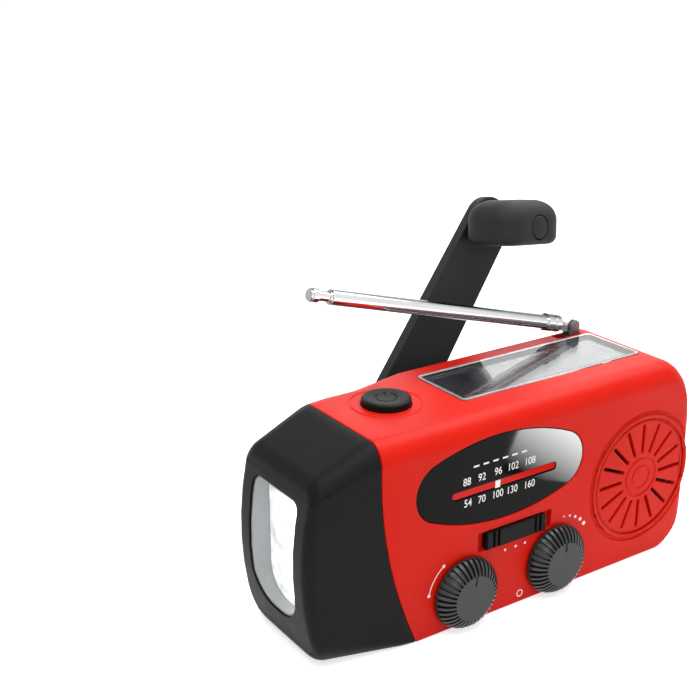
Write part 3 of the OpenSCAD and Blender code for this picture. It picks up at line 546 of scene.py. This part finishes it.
bmesh.ops.translate(bm, verts=bm.verts, vec=(button_x * mm, button_y * mm, 0))
carve(flashlight_button, make_piece("switch_sign", bm))
soften(flashlight_button, 0.06, 40, 1)
dress(black_satin, flashlight_button)
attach(flashlight_button, "button")
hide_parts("flashlight_button")
grey_satin = finish_of("grey_satin_plastic", moulded, 0.12, Colour=(0.2, 0.205, 0.21, 1), Flow=0.08,
                       Grain=4600, Roughness=0.38, Polish=0.1)
dress(grey_satin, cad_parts["light_switch"])

# Solar window, a clear acrylic cover bonded flush into the top of the case.
# A thin silver band is printed round its edge, and the cells lie a few millimetres below.
dress(clear_acrylic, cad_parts["solar_cover"])
bm = bmesh.new()
window_box(bm, -0.1, 57.62, 57.7, 1.4)
window_band = make_piece("solar_window_band", bm)
bm = bmesh.new()
window_box(bm, -1, 57, 58, 0.8)
carve(window_band, make_piece("band_opening", bm))

# Drawn metal: fine streaks along the pull, with faint stains.
brushed, given, made = surface_group("drawn_metal", Colour=(0.6, 0.6, 0.6, 1), Roughness=0.25,
                                     Along=(1, 1, 1), Streaks=900)
spot = add_node(brushed, "TexCoord")
pull = add_node(brushed, "VectorMath", operation="MULTIPLY")
lines = add_node(brushed, "TexNoise", {"Detail": 3})
stain = add_node(brushed, "TexNoise", {"Scale": 120})
dull = add_node(brushed, "MapRange", {"To Min": 0.9, "To Max": 1.06})
level = add_node(brushed, "CombineColor")
tone = add_node(brushed, "Mix", {"Factor": 1}, data_type="RGBA", blend_type="MULTIPLY")
worn = add_node(brushed, "MapRange", {"To Min": 0.75, "To Max": 1.3})
rough = add_node(brushed, "Math", operation="MULTIPLY")
wire(brushed, (spot, "Object", pull, 0), (given, "Along", pull, 1), (pull, "Vector", lines, "Vector"),
     (spot, "Object", stain, "Vector"), (given, "Streaks", lines, "Scale"), (stain, "Fac", dull, "Value"),
     (dull, "Result", level, "Red"), (dull, "Result", level, "Green"), (dull, "Result", level, "Blue"),
     (given, "Colour", tone, "A"), (level, "Color", tone, "B"),
     (lines, "Fac", worn, "Value"), (worn, "Result", rough, 0), (given, "Roughness", rough, 1),
     (tone, "Result", made, "Colour"), (rough, "Value", made, "Roughness"), (lines, "Fac", made, "Height"))
silver_print = finish_of("silver_print", brushed, 0.03, metallic=0.7, Colour=(0.75, 0.76, 0.78, 1),
                         Roughness=0.3, Along=(1, 1, 1), Streaks=700)
dress(silver_print, window_band)
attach(window_band, "case")

solar_blue, tree, shader = new_material("solar_cell_wafers", Roughness=0.25)
spot = add_node(tree, "TexCoord")
fingers = add_node(tree, "TexWave", {"Scale": 230}, bands_direction="Y")
lines = add_ramp(tree, (0.86, (0.008, 0.008, 0.014, 1)), (0.97, (0.09, 0.09, 0.1, 1)))
wire(tree, (spot, "Object", fingers, "Vector"), (fingers, "Fac", lines, "Fac"),
     (lines, "Color", shader, "Base Color"))
dress(solar_blue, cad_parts["solar_cells"])

# Dial window, a black gloss panel set flush into the front, with a narrow slot for the pointer.
# Scale marks and numbers are printed in white on its face.
dial_face = -19.4
bm = bmesh.new()
dial_oval(bm, -0.1, -16.8, dial_face)
dial_window = make_piece("dial_panel", bm)
carve(dial_window, box_piece("pointer_slot", (-22.95, -20, 37.2), (12.1, -16, 39.4), 0.9, 1))
soften(dial_window, 0.18)
gloss_black = finish_of("gloss_black_plastic", moulded, 0.01, specular=0.06, Colour=(0.004, 0.0045, 0.004, 1),
                        Flow=0.1, Grain=900, Roughness=0.05, Polish=0.03)
dress(gloss_black, dial_window)
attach(dial_window, "case")
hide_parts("dial_window")

white_print = finish_of("white_print", moulded, 0.03, Colour=(0.82, 0.82, 0.8, 1), Flow=0.04, Grain=3000,
                        Roughness=0.3, Polish=0.1)
on_dial = Matrix.Translation((dial_x * mm, (dial_face - 0.01) * mm, dial_z * mm)) @ to_front


def printed(words, size, place, name):
    shapes = bpy.data.curves.new(name, "FONT")
    shapes.body = words
    shapes.size = size * mm
    shapes.align_x = "CENTER"
    shapes.align_y = "CENTER"
    shapes.offset = 0.02 * mm
    letters = bpy.data.objects.new(name, shapes)
    scene.collection.objects.link(letters)
    bpy.context.view_layer.update()
    mesh = bpy.data.meshes.new_from_object(letters.evaluated_get(bpy.context.evaluated_depsgraph_get()))
    bpy.data.objects.remove(letters)
    mesh.transform(place)
    return mesh


bm = bmesh.new()
upper_row = (("88", -12.1, 1.4), ("92", -7.2, 1.5), ("96", -1.8, 1.7), ("102", 3.2, 1.8), ("108", 9, 1.8))
lower_row = (("54", -11.6, -4.7), ("70", -7, -4.8), ("100", -1.7, -4.8), ("130", 3.2, -4.9), ("160", 9.2, -5))
for words, x, y in upper_row + lower_row:
    narrow = Matrix.Translation((x * mm, y * mm, 0)) @ Matrix.Diagonal((0.86, 1, 1, 1))
    mesh = printed(words, 3, on_dial @ narrow, "dial_number")
    bm.from_mesh(mesh)
    bpy.data.meshes.remove(mesh)
dash_long, dash_high, dash_step = 1.8, 0.5, 3.2
for i in range(6):
    dash = bmesh.ops.create_grid(bm, x_segments=1, y_segments=1, size=0.5)
    place = on_dial @ Matrix.Translation(((-9.2 + i * dash_step) * mm, 5.1 * mm, 0))
    bmesh.ops.transform(bm, verts=dash["verts"],
                        matrix=place @ Matrix.Diagonal((dash_long * mm, dash_high * mm, 1, 1)))
scale_marks = make_piece("dial_scale_marks", bm)
dress(white_print, scale_marks)
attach(scale_marks, "case")

# Signs printed in white on the front case beside the controls.
# A line marks the way the tuning knob turns, growing dots the volume, and three dots the slider's places.
on_front = Matrix.Translation((0, (case_front - 0.02) * mm, 0)) @ to_front
slider_dots = [(x, 18.1, 0.36) for x in (-4.7, -1, 2.3)]
line_ends = [(-29.9, 12.6, 0.5), (-25.3, 19.8, 0.5)]
volume_dots = [(16.2, 21.9, 0.25), (18.4, 21.5, 0.34), (20.5, 20.6, 0.43), (22.4, 19.3, 0.52),
               (23.9, 17.6, 0.61)]
bm = bmesh.new()
for x, z, radius in slider_dots + line_ends + volume_dots:
    bmesh.ops.create_circle(bm, cap_ends=True, segments=20, radius=radius * mm,
                            matrix=on_front @ Matrix.Translation((x * mm, z * mm, 0)))
line_width = 0.3
for x, z, radius, start, turn in ((knob_places[0][1], knob_z, 11.6, 128, 40), (1.3, 3, 0.8, 0, 360)):
    middle = on_front @ Matrix.Translation((x * mm, z * mm, 0))
    turned = middle @ Matrix.Rotation(math.radians(start), 4, "Z")
    line = [bm.verts.new(turned @ Vector((r * mm, 0, 0))) for r in (radius, radius + line_width)]
    line.append(bm.edges.new(line))
    bmesh.ops.spin(bm, geom=line, cent=middle.translation, axis=(0, -1, 0), angle=math.radians(turn),
                   steps=24)
front_signs = make_piece("front_signs", bm)
dress(white_print, front_signs)
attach(front_signs, "case")

# Red strip behind the pointer slot, with a slit along its lower edge for the pointer blade.
# The white tab of the pointer runs in front of it and is carried by the slide on the rail.
dial_strip = box_piece("dial_strip", (-22.9, -19.2, 37.5), (12, -17, 39.35), 0.85, 1)
red_gloss = finish_of("red_gloss_print", moulded, 0.01, specular=0.1, Colour=(0.62, 0.012, 0.008, 1),
                      Flow=0.06, Grain=2500, Roughness=0.12, Polish=0.05)
dress(red_gloss, dial_strip)
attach(dial_strip, "case")
bm = bmesh.new()
add_box(bm, (-8.9, -19.38, 37.24), (-7.2, -19.24, 39.34), 0.05, segments=1)
add_box(bm, (-8.65, -19.3, 37.24), (-7.45, -16, 37.44), 0.04, segments=1)
pointer_tab = make_piece("pointer_tab", bm)
white_satin = finish_of("white_satin_plastic", moulded, 0.05, Colour=(0.83, 0.83, 0.81, 1), Flow=0.04,
                        Grain=4000, Roughness=0.35, Polish=0.1)
dress(white_satin, pointer_tab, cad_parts["dial_pointer"])
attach(pointer_tab, "pointer")
dress(gloss_black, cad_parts["dial_plate"])

# Tuning and volume knobs, ribbed black mouldings pressed onto the control shafts.
# The flank falls away in a curve below a flat face, and a short notch in the face marks the setting. The face
# is the same plastic, painted lighter grey than the flank for the light falling on it.
knob_black = finish_of("glossy_knob_plastic", moulded, 0.06, Colour=(0.013, 0.0132, 0.0135, 1), Flow=0.1,
                       Grain=3800, Roughness=0.3, Polish=0.1)
knob_face_painted_light = finish_of("knob_face_lighter_painted", moulded, 0.12, specular=0.2, Colour=(0.055, 0.0555, 0.056, 1),
                      Flow=0.08, Grain=3800, Roughness=0.5, Polish=0.1)
knob_back, knob_thick, rib_step = -19.95, 4.6, 10
for name, x in knob_places:
    bm = bmesh.new()
    turn_profile(bm, ((0, 0), (9.7, 0), (10, 0.3), (10, 0.75), (9.75, 1.5), (9.25, 2.35), (8.5, 3.2),
                      (7.6, 3.9), (6.75, 4.35), (6.3, 4.56), (5.9, knob_thick), (0, knob_thick)), 144)
    bmesh.ops.remove_doubles(bm, verts=bm.verts, dist=1e-7)
    bmesh.ops.recalc_face_normals(bm, faces=bm.faces)
    grooves = []
    for face in bm.faces:
        middle = face.calc_center_median()
        turn = math.degrees(math.atan2(middle.y, middle.x)) % rib_step
        if 0.8 * mm < middle.z < 4.5 * mm and turn < rib_step / 2:
            grooves.append(face)
    bmesh.ops.inset_region(bm, faces=grooves, thickness=0.08 * mm, depth=-0.95 * mm, use_even_offset=True)
    bmesh.ops.transform(bm, verts=bm.verts,
                        matrix=Matrix.Translation((x * mm, knob_back * mm, knob_z * mm)) @ to_front)
    knob = make_piece(name + "_knob_cap", bm)
    notch = box_piece("setting_notch", (x - 0.4, -26, knob_z + 3.9), (x + 0.4, -24.2, knob_z + 7), 0.2, 1)
    carve(knob, notch)
    soften(knob, 0.05, 40, 1)
    dress(knob_black, knob)
    knob.data.materials.append(knob_face_painted_light)
    # The flat front face takes the lighter copy of the knob plastic, which paints the light falling on it.
    for polygon in knob.data.polygons:
        if polygon.normal.y < -0.98 and polygon.center.y < (knob_back - knob_thick + 0.1) * mm:
            polygon.material_index = 1
    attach(knob, name)
    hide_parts(name + "_knob")

# Band slider, a black moulded thumb piece that runs in a shallow pocket under the dial.
# Four grip grooves are moulded across it, and a neck through the case joins it to a plate inside.
bm = bmesh.new()
slider_box(bm, 10.2, 2.45, -20.5, -17.97, 0.35, segments=3)
band_slider = make_piece("band_thumb_piece", bm)
bm = bmesh.new()
slider_box(bm, 5.7, 1.7, -18.6, -17, 0.2, 1, 2)
carve(band_slider, make_piece("slider_neck", bm), "UNION")
bm = bmesh.new()
slider_box(bm, 11.7, 3.7, -17.5, -16.4, 0.2, segments=2)
carve(band_slider, make_piece("slider_plate", bm), "UNION")
bm = bmesh.new()
groove_half = 0.42
for x in (-9.4, -7.8, 5, 6.6):
    add_box(bm, (x - groove_half, cut_front, 19), (x + groove_half, -19.7, 27), 0.15, 2, 2)
carve(band_slider, make_piece("grip_grooves", bm))
soften(band_slider, 0.08)
dress(black_satin, band_slider)
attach(band_slider, "band")
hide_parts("band_slider")

# Crank arm, a long black moulded lever with a round end, hinged on the hub at the back.
# Its edges are chamfered, and the rib at its root turns on a steel pin.
hub_x, hinge_y, hub_z = -18, 26, 29
lean, fold, reach = math.radians(43.7), math.radians(12), 82.4
arm_half, arm_taper, rib_half = 10, 0.86, 4.5
at_arm = (Matrix.Translation((hub_x * mm, hinge_y * mm, hub_z * mm)) @ Matrix.Rotation(lean, 4, "Y")
          @ Matrix.Rotation(-fold, 4, "X"))
bm = bmesh.new()
add_box(bm, (-arm_half, -1.95, 12), (arm_half, 1.25, reach))
outer = [v for v in bm.verts if v.co.z > reach / 2 * mm]
bmesh.ops.scale(bm, verts=outer, vec=(arm_taper, 1, 1))
tip = [f for f in bm.faces if all(v in outer for v in f.verts)]
end = [v for v in outer if v.co.x > 0]
end_edges = [e for e in bm.edges if all(v in end for v in e.verts)]
bmesh.ops.delete(bm, geom=tip, context="FACES_ONLY")
bmesh.ops.spin(bm, geom=end + end_edges, cent=(0, 0, reach * mm), axis=(0, -1, 0), angle=math.pi, steps=32)
bmesh.ops.remove_doubles(bm, verts=bm.verts, dist=1e-6)
bmesh.ops.holes_fill(bm, edges=[e for e in bm.edges if e.is_boundary])
crank_arm = make_piece("crank_lever", bm)
bm = bmesh.new()
add_box(bm, (-rib_half, -2.4, 0), (rib_half, 2, 14), 0.3, 2)
add_bar(bm, 2.8, (-rib_half, 0, 0), (rib_half, 0, 0), 48)
carve(crank_arm, make_piece("root_rib", bm), "UNION")
crank_arm.data.transform(at_arm)
soften(crank_arm, 0.35, 40, 3)
soft_black = finish_of("soft_black_plastic", moulded, 0.2, specular=0.2, Colour=(0.017, 0.0172, 0.0175, 1),
                       Flow=0.12, Grain=3600, Roughness=0.62, Polish=0.1)
dress(soft_black, crank_arm)
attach(crank_arm, "arm")
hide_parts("crank_arm")

# Grip, a rounded black handle that spins on a pin through the end of the lever.
# It is shaped like a pebble with a crowned top, and a round plug covers the pin in its end.
grip_top, grip_roll = 4.4, math.radians(7)
at_grip = (at_arm @ Matrix.Translation((0, -2.25 * mm, reach * mm))
           @ Matrix.Rotation(grip_roll - lean, 4, "Y"))
bm = bmesh.new()
add_box(bm, (-15, -19.2, -5.2), (12.6, 0, grip_top))
upright = [e for e in bm.edges if abs(e.verts[0].co.z - e.verts[1].co.z) > 1e-3]
round_off(bm, upright, 8, 14)
top = [f for f in bm.faces if f.calc_center_median().z > (grip_top - 0.1) * mm]
bmesh.ops.inset_region(bm, faces=top, thickness=4.2 * mm, depth=3.4 * mm, use_even_offset=True)
rims = [e for e in bm.edges if abs(e.verts[0].co.z - e.verts[1].co.z) < 1e-6]
round_off(bm, rims, 2.5, 6)
grip = make_piece("crank_grip", bm)
bm = bmesh.new()
add_bar(bm, 3.7, (0, -21, 0), (0, -17.9, 0))
carve(grip, make_piece("plug_recess", bm))
grip.data.transform(at_grip)
soften(grip, 0.15)
dress(soft_black, grip)
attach(grip, "grip")
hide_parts("grip")
bm = bmesh.new()
turn_profile(bm, ((0, 18.3), (3.4, 18.3), (3.4, 18.95), (3.25, 19.15), (3, 19.22), (0, 19.3)), 48)
add_bar(bm, 1.8, (0, 0, -3.45), (0, 0, 18.4), 32)
bmesh.ops.transform(bm, verts=bm.verts, matrix=at_grip @ to_front)
grip_plug = make_piece("grip_pin_plug", bm)
dress(soft_black, grip_plug)
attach(grip_plug, "arm")
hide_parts("grip_pin")

# Hub of the crank and its hinge pin, on the bearing in the rear cover.
# The hub is a black moulding with two cheeks, and the pin is plain steel rod.
steel = finish_of("plain_steel", brushed, 0.05, metallic=1, Colour=(0.56, 0.57, 0.58, 1), Roughness=0.28,
                  Along=(1, 1, 1), Streaks=1200)


def merged_copy(node, name, body):
    bm = bmesh.new()
    bm.from_mesh(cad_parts[node].data)
    bmesh.ops.remove_doubles(bm, verts=bm.verts, dist=1e-6)
    bmesh.ops.dissolve_limit(bm, angle_limit=math.radians(1), verts=bm.verts, edges=bm.edges)
    piece = make_piece(name, bm)
    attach(piece, body)
    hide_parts(node)
    return piece


crank_hub = merged_copy("crank_hub", "crank_hub_moulding", "hub")
soften(crank_hub, 0.25)
dress(black_satin, crank_hub)
dress(steel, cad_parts["hinge_pin"])

# Telescopic antenna of thin chromed brass tubes on a steel bracket at the back of the top.
# Each tube is drawn a little smaller than the one around it, and the last carries a turned tip.
chrome = finish_of("bright_chrome", brushed, 0.01, metallic=1, Colour=(0.8, 0.81, 0.82, 1), Roughness=0.1,
                   Along=(0.1, 1, 1), Streaks=900)
tree = chrome.node_tree
shader = tree.nodes["Principled BSDF"]
plating = shader.inputs["Base Color"].links[0].from_node
# Painted reflection: the chrome colour is darkened on flanks turned away from the view, standing in for dark
# surroundings reflected in the tubes.
turned_away = add_node(tree, "LayerWeight")
painted_flank_shade = add_ramp(tree, (0.3, (1, 1, 1, 1)), (0.55, (0.16, 0.16, 0.17, 1)))
painted_shade_mix = add_node(tree, "Mix", {"Factor": 1}, data_type="RGBA", blend_type="MULTIPLY")
wire(tree, (turned_away, "Facing", painted_flank_shade, "Fac"), (plating, "Colour", painted_shade_mix, "A"),
     (painted_flank_shade, "Color", painted_shade_mix, "B"), (painted_shade_mix, "Result", shader, "Base Color"))
for node, body in (("antenna_root", "antenna"), ("antenna_tube", "antenna"),
                   ("antenna_middle", "antenna_mid"), ("antenna_inner", "antenna_end"),
                   ("antenna_tip", "antenna_end")):
    dress(chrome, merged_copy(node, node + "_turned", body))
blackened = finish_of("blackened_steel", brushed, 0.05, metallic=1, Colour=(0.17, 0.16, 0.16, 1),
                      Roughness=0.35, Along=(1, 1, 1), Streaks=1200)
bracket = merged_copy("antenna_bracket", "antenna_bracket_pressing", "case")
soften(bracket, 0.12)
dress(blackened, bracket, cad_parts["antenna_pin"])

# Rear cover, a flat black moulding inside the rim of the case, held by four steel screws.
# Its upper edge follows the rounding of the case, and a brass bush in it carries the crank.
brass = finish_of("turned_brass", brushed, 0.05, metallic=1, Colour=(0.72, 0.5, 0.2, 1), Roughness=0.3,
                  Along=(1, 1, 1), Streaks=1400)
rear_cover = merged_copy("rear_cover", "rear_cover_plate", "case")
carve(rear_cover, moulded_block("case_outline", 0, case_back), "INTERSECT")
soften(rear_cover, 0.15)
dress(black_satin, rear_cover)
dress(steel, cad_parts["case_screws"])
dress(brass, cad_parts["hub_bush"])

# Port cover, a black rubber flap over the charging socket at the speaker end.
# The socket is a folded steel shell on its own small board.
rubber = finish_of("black_rubber", moulded, 0.2, Colour=(0.02, 0.02, 0.021, 1), Flow=0.15, Grain=2600,
                   Roughness=0.7, Polish=0.15)
port_cover = merged_copy("port_cover", "port_cover_flap", "port")
soften(port_cover, 0.2)
dress(rubber, port_cover)
dress(steel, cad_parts["charge_socket"])

# Working parts inside the case: speaker, controls, gears, generator, battery and aerial rod.
# They show through the sound slots and when the case is opened.
nylon = finish_of("natural_nylon", moulded, 0.08, Colour=(0.76, 0.75, 0.7, 1), Flow=0.05, Grain=3000,
                  Roughness=0.4, Polish=0.1)
paper = finish_of("speaker_paper", moulded, 0.5, Colour=(0.02, 0.02, 0.02, 1), Flow=0.3, Grain=1400,
                  Roughness=0.85, Polish=0.1)
ferrite = finish_of("sintered_ferrite", moulded, 0.4, Colour=(0.045, 0.042, 0.04, 1), Flow=0.2, Grain=2200,
                    Roughness=0.6, Polish=0.2)
copper = finish_of("enamelled_copper", brushed, 0.4, metallic=1, Colour=(0.62, 0.27, 0.1, 1), Roughness=0.3,
                   Along=(6, 0.2, 0.2), Streaks=900)
film = finish_of("blue_shrink_film", moulded, 0.1, Colour=(0.03, 0.09, 0.26, 1), Flow=0.1, Grain=500,
                 Roughness=0.25, Polish=0.1)
for material, names in (
        (nylon, ("tuning_shaft", "volume_shaft", "tuning_capacitor", "idler_gear", "drive_gear")),
        (grey_satin, ("volume_control",)),
        (steel, ("band_switch", "speaker_frame", "pointer_rail", "generator", "gear_plate", "idler_axle")),
        (brass, ("rotor_pinion",)),
        (paper, ("speaker_cone",)),
        (ferrite, ("speaker_magnet", "ferrite_rod")),
        (copper, ("ferrite_coil",)),
        (film, ("battery",))):
    for name in names:
        dress(material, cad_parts[name])


# Table and light: a pale sheet under the radio, with a white room around it.
# Soft lamps stand above and at the speaker end, and weaker ones in front and behind.
# A bright card lying on the sheet shows only as a reflection in the dial.
def background_rays(tree):
    rays = add_node(tree, "LightPath")
    direct = add_node(tree, "Math", operation="MAXIMUM")
    seen = add_node(tree, "Math", operation="MAXIMUM")
    wire(tree, (rays, "Is Camera Ray", direct, 0), (rays, "Is Glossy Ray", direct, 1),
         (direct, "Value", seen, 0), (rays, "Is Transmission Ray", seen, 1))
    return seen


bm = bmesh.new()
bmesh.ops.create_grid(bm, x_segments=1, y_segments=1, size=3)
table = make_piece("table_sheet", bm)
sheet, tree, shader = new_material("white_sheet", Base_Color=(0.85, 0.85, 0.85, 1), Roughness=0.9,
                                   Emission_Color=(1, 1, 1, 1))
lift = add_node(tree, "Math", {1: 0.62}, operation="MULTIPLY")
wire(tree, (background_rays(tree), "Value", lift, 0), (lift, "Value", shader, "Emission Strength"))
dress(sheet, table)

world = bpy.data.worlds.new("studio_room")
scene.world = world
world.use_nodes = True
tree = world.node_tree
room = tree.nodes["Background"]
room.inputs["Color"].default_value = (1, 1, 1, 1)
level = add_node(tree, "MapRange", {"To Min": 0.45, "To Max": 1})
wire(tree, (background_rays(tree), "Value", level, "Value"), (level, "Result", room, "Strength"))


def lamp(name, place, target, wide, high, radiance):
    data = bpy.data.lights.new(name, "AREA")
    data.shape = "RECTANGLE"
    data.size = wide * mm
    data.size_y = high * mm
    data.energy = math.pi * data.size * data.size_y * radiance
    obj = bpy.data.objects.new(name, data)
    obj.location = Vector(place) * mm
    obj.rotation_euler = (Vector(place) - Vector(target)).to_track_quat("Z", "Y").to_euler()
    scene.collection.objects.link(obj)
    return obj


lamp("ceiling_softbox", (-60, -140, 700), (0, 0, 30), 560, 560, 3.3)
lamp("front_softbox", (-260, -720, 420), (0, 0, 30), 420, 420, 2.1)
lamp("side_softbox", (370, 90, 640), (0, 0, 57), 460, 460, 4.2)
lamp("lamp_glow", (-59.3, 0, 27), (-200, 0, 27), 20, 33, 1.1).visible_camera = False
lamp("back_softbox", (310, 470, 260), (10, 0, 57), 560, 300, 1.1).visible_camera = False

card_place = Matrix(((42.1, 21.7, 0, 81.1), (-35, 26.2, 0, -86.9), (0, 0, 1, 0.4), (0, 0, 0, 1)))
bm = bmesh.new()
bmesh.ops.create_grid(bm, x_segments=1, y_segments=1, size=0.5)
bmesh.ops.transform(bm, verts=bm.verts, matrix=Matrix.Scale(mm, 4) @ card_place)
dial_card = make_piece("dial_card", bm)
card_glow, tree, shader = new_material("lit_card", Base_Color=(0, 0, 0, 1), Emission_Color=(1, 1, 1, 1))
spot = add_node(tree, "TexCoord")
along = add_node(tree, "SeparateXYZ")
fade = add_node(tree, "MapRange", {"From Min": 56 * mm, "From Max": 92 * mm, "To Max": 85})
wire(tree, (spot, "Object", along, "Vector"), (along, "X", fade, "Value"),
     (fade, "Result", shader, "Emission Strength"))
dress(card_glow, dial_card)
dial_card.visible_shadow = False
dial_card.visible_camera = False
dial_card.visible_diffuse = False
dial_card.visible_transmission = False
dial_card.light_linking.receiver_collection = bpy.data.collections.new("dial_card_shows_in")
dial_card.light_linking.receiver_collection.objects.link(dial_window)

scene.view_settings.view_transform = "Standard"
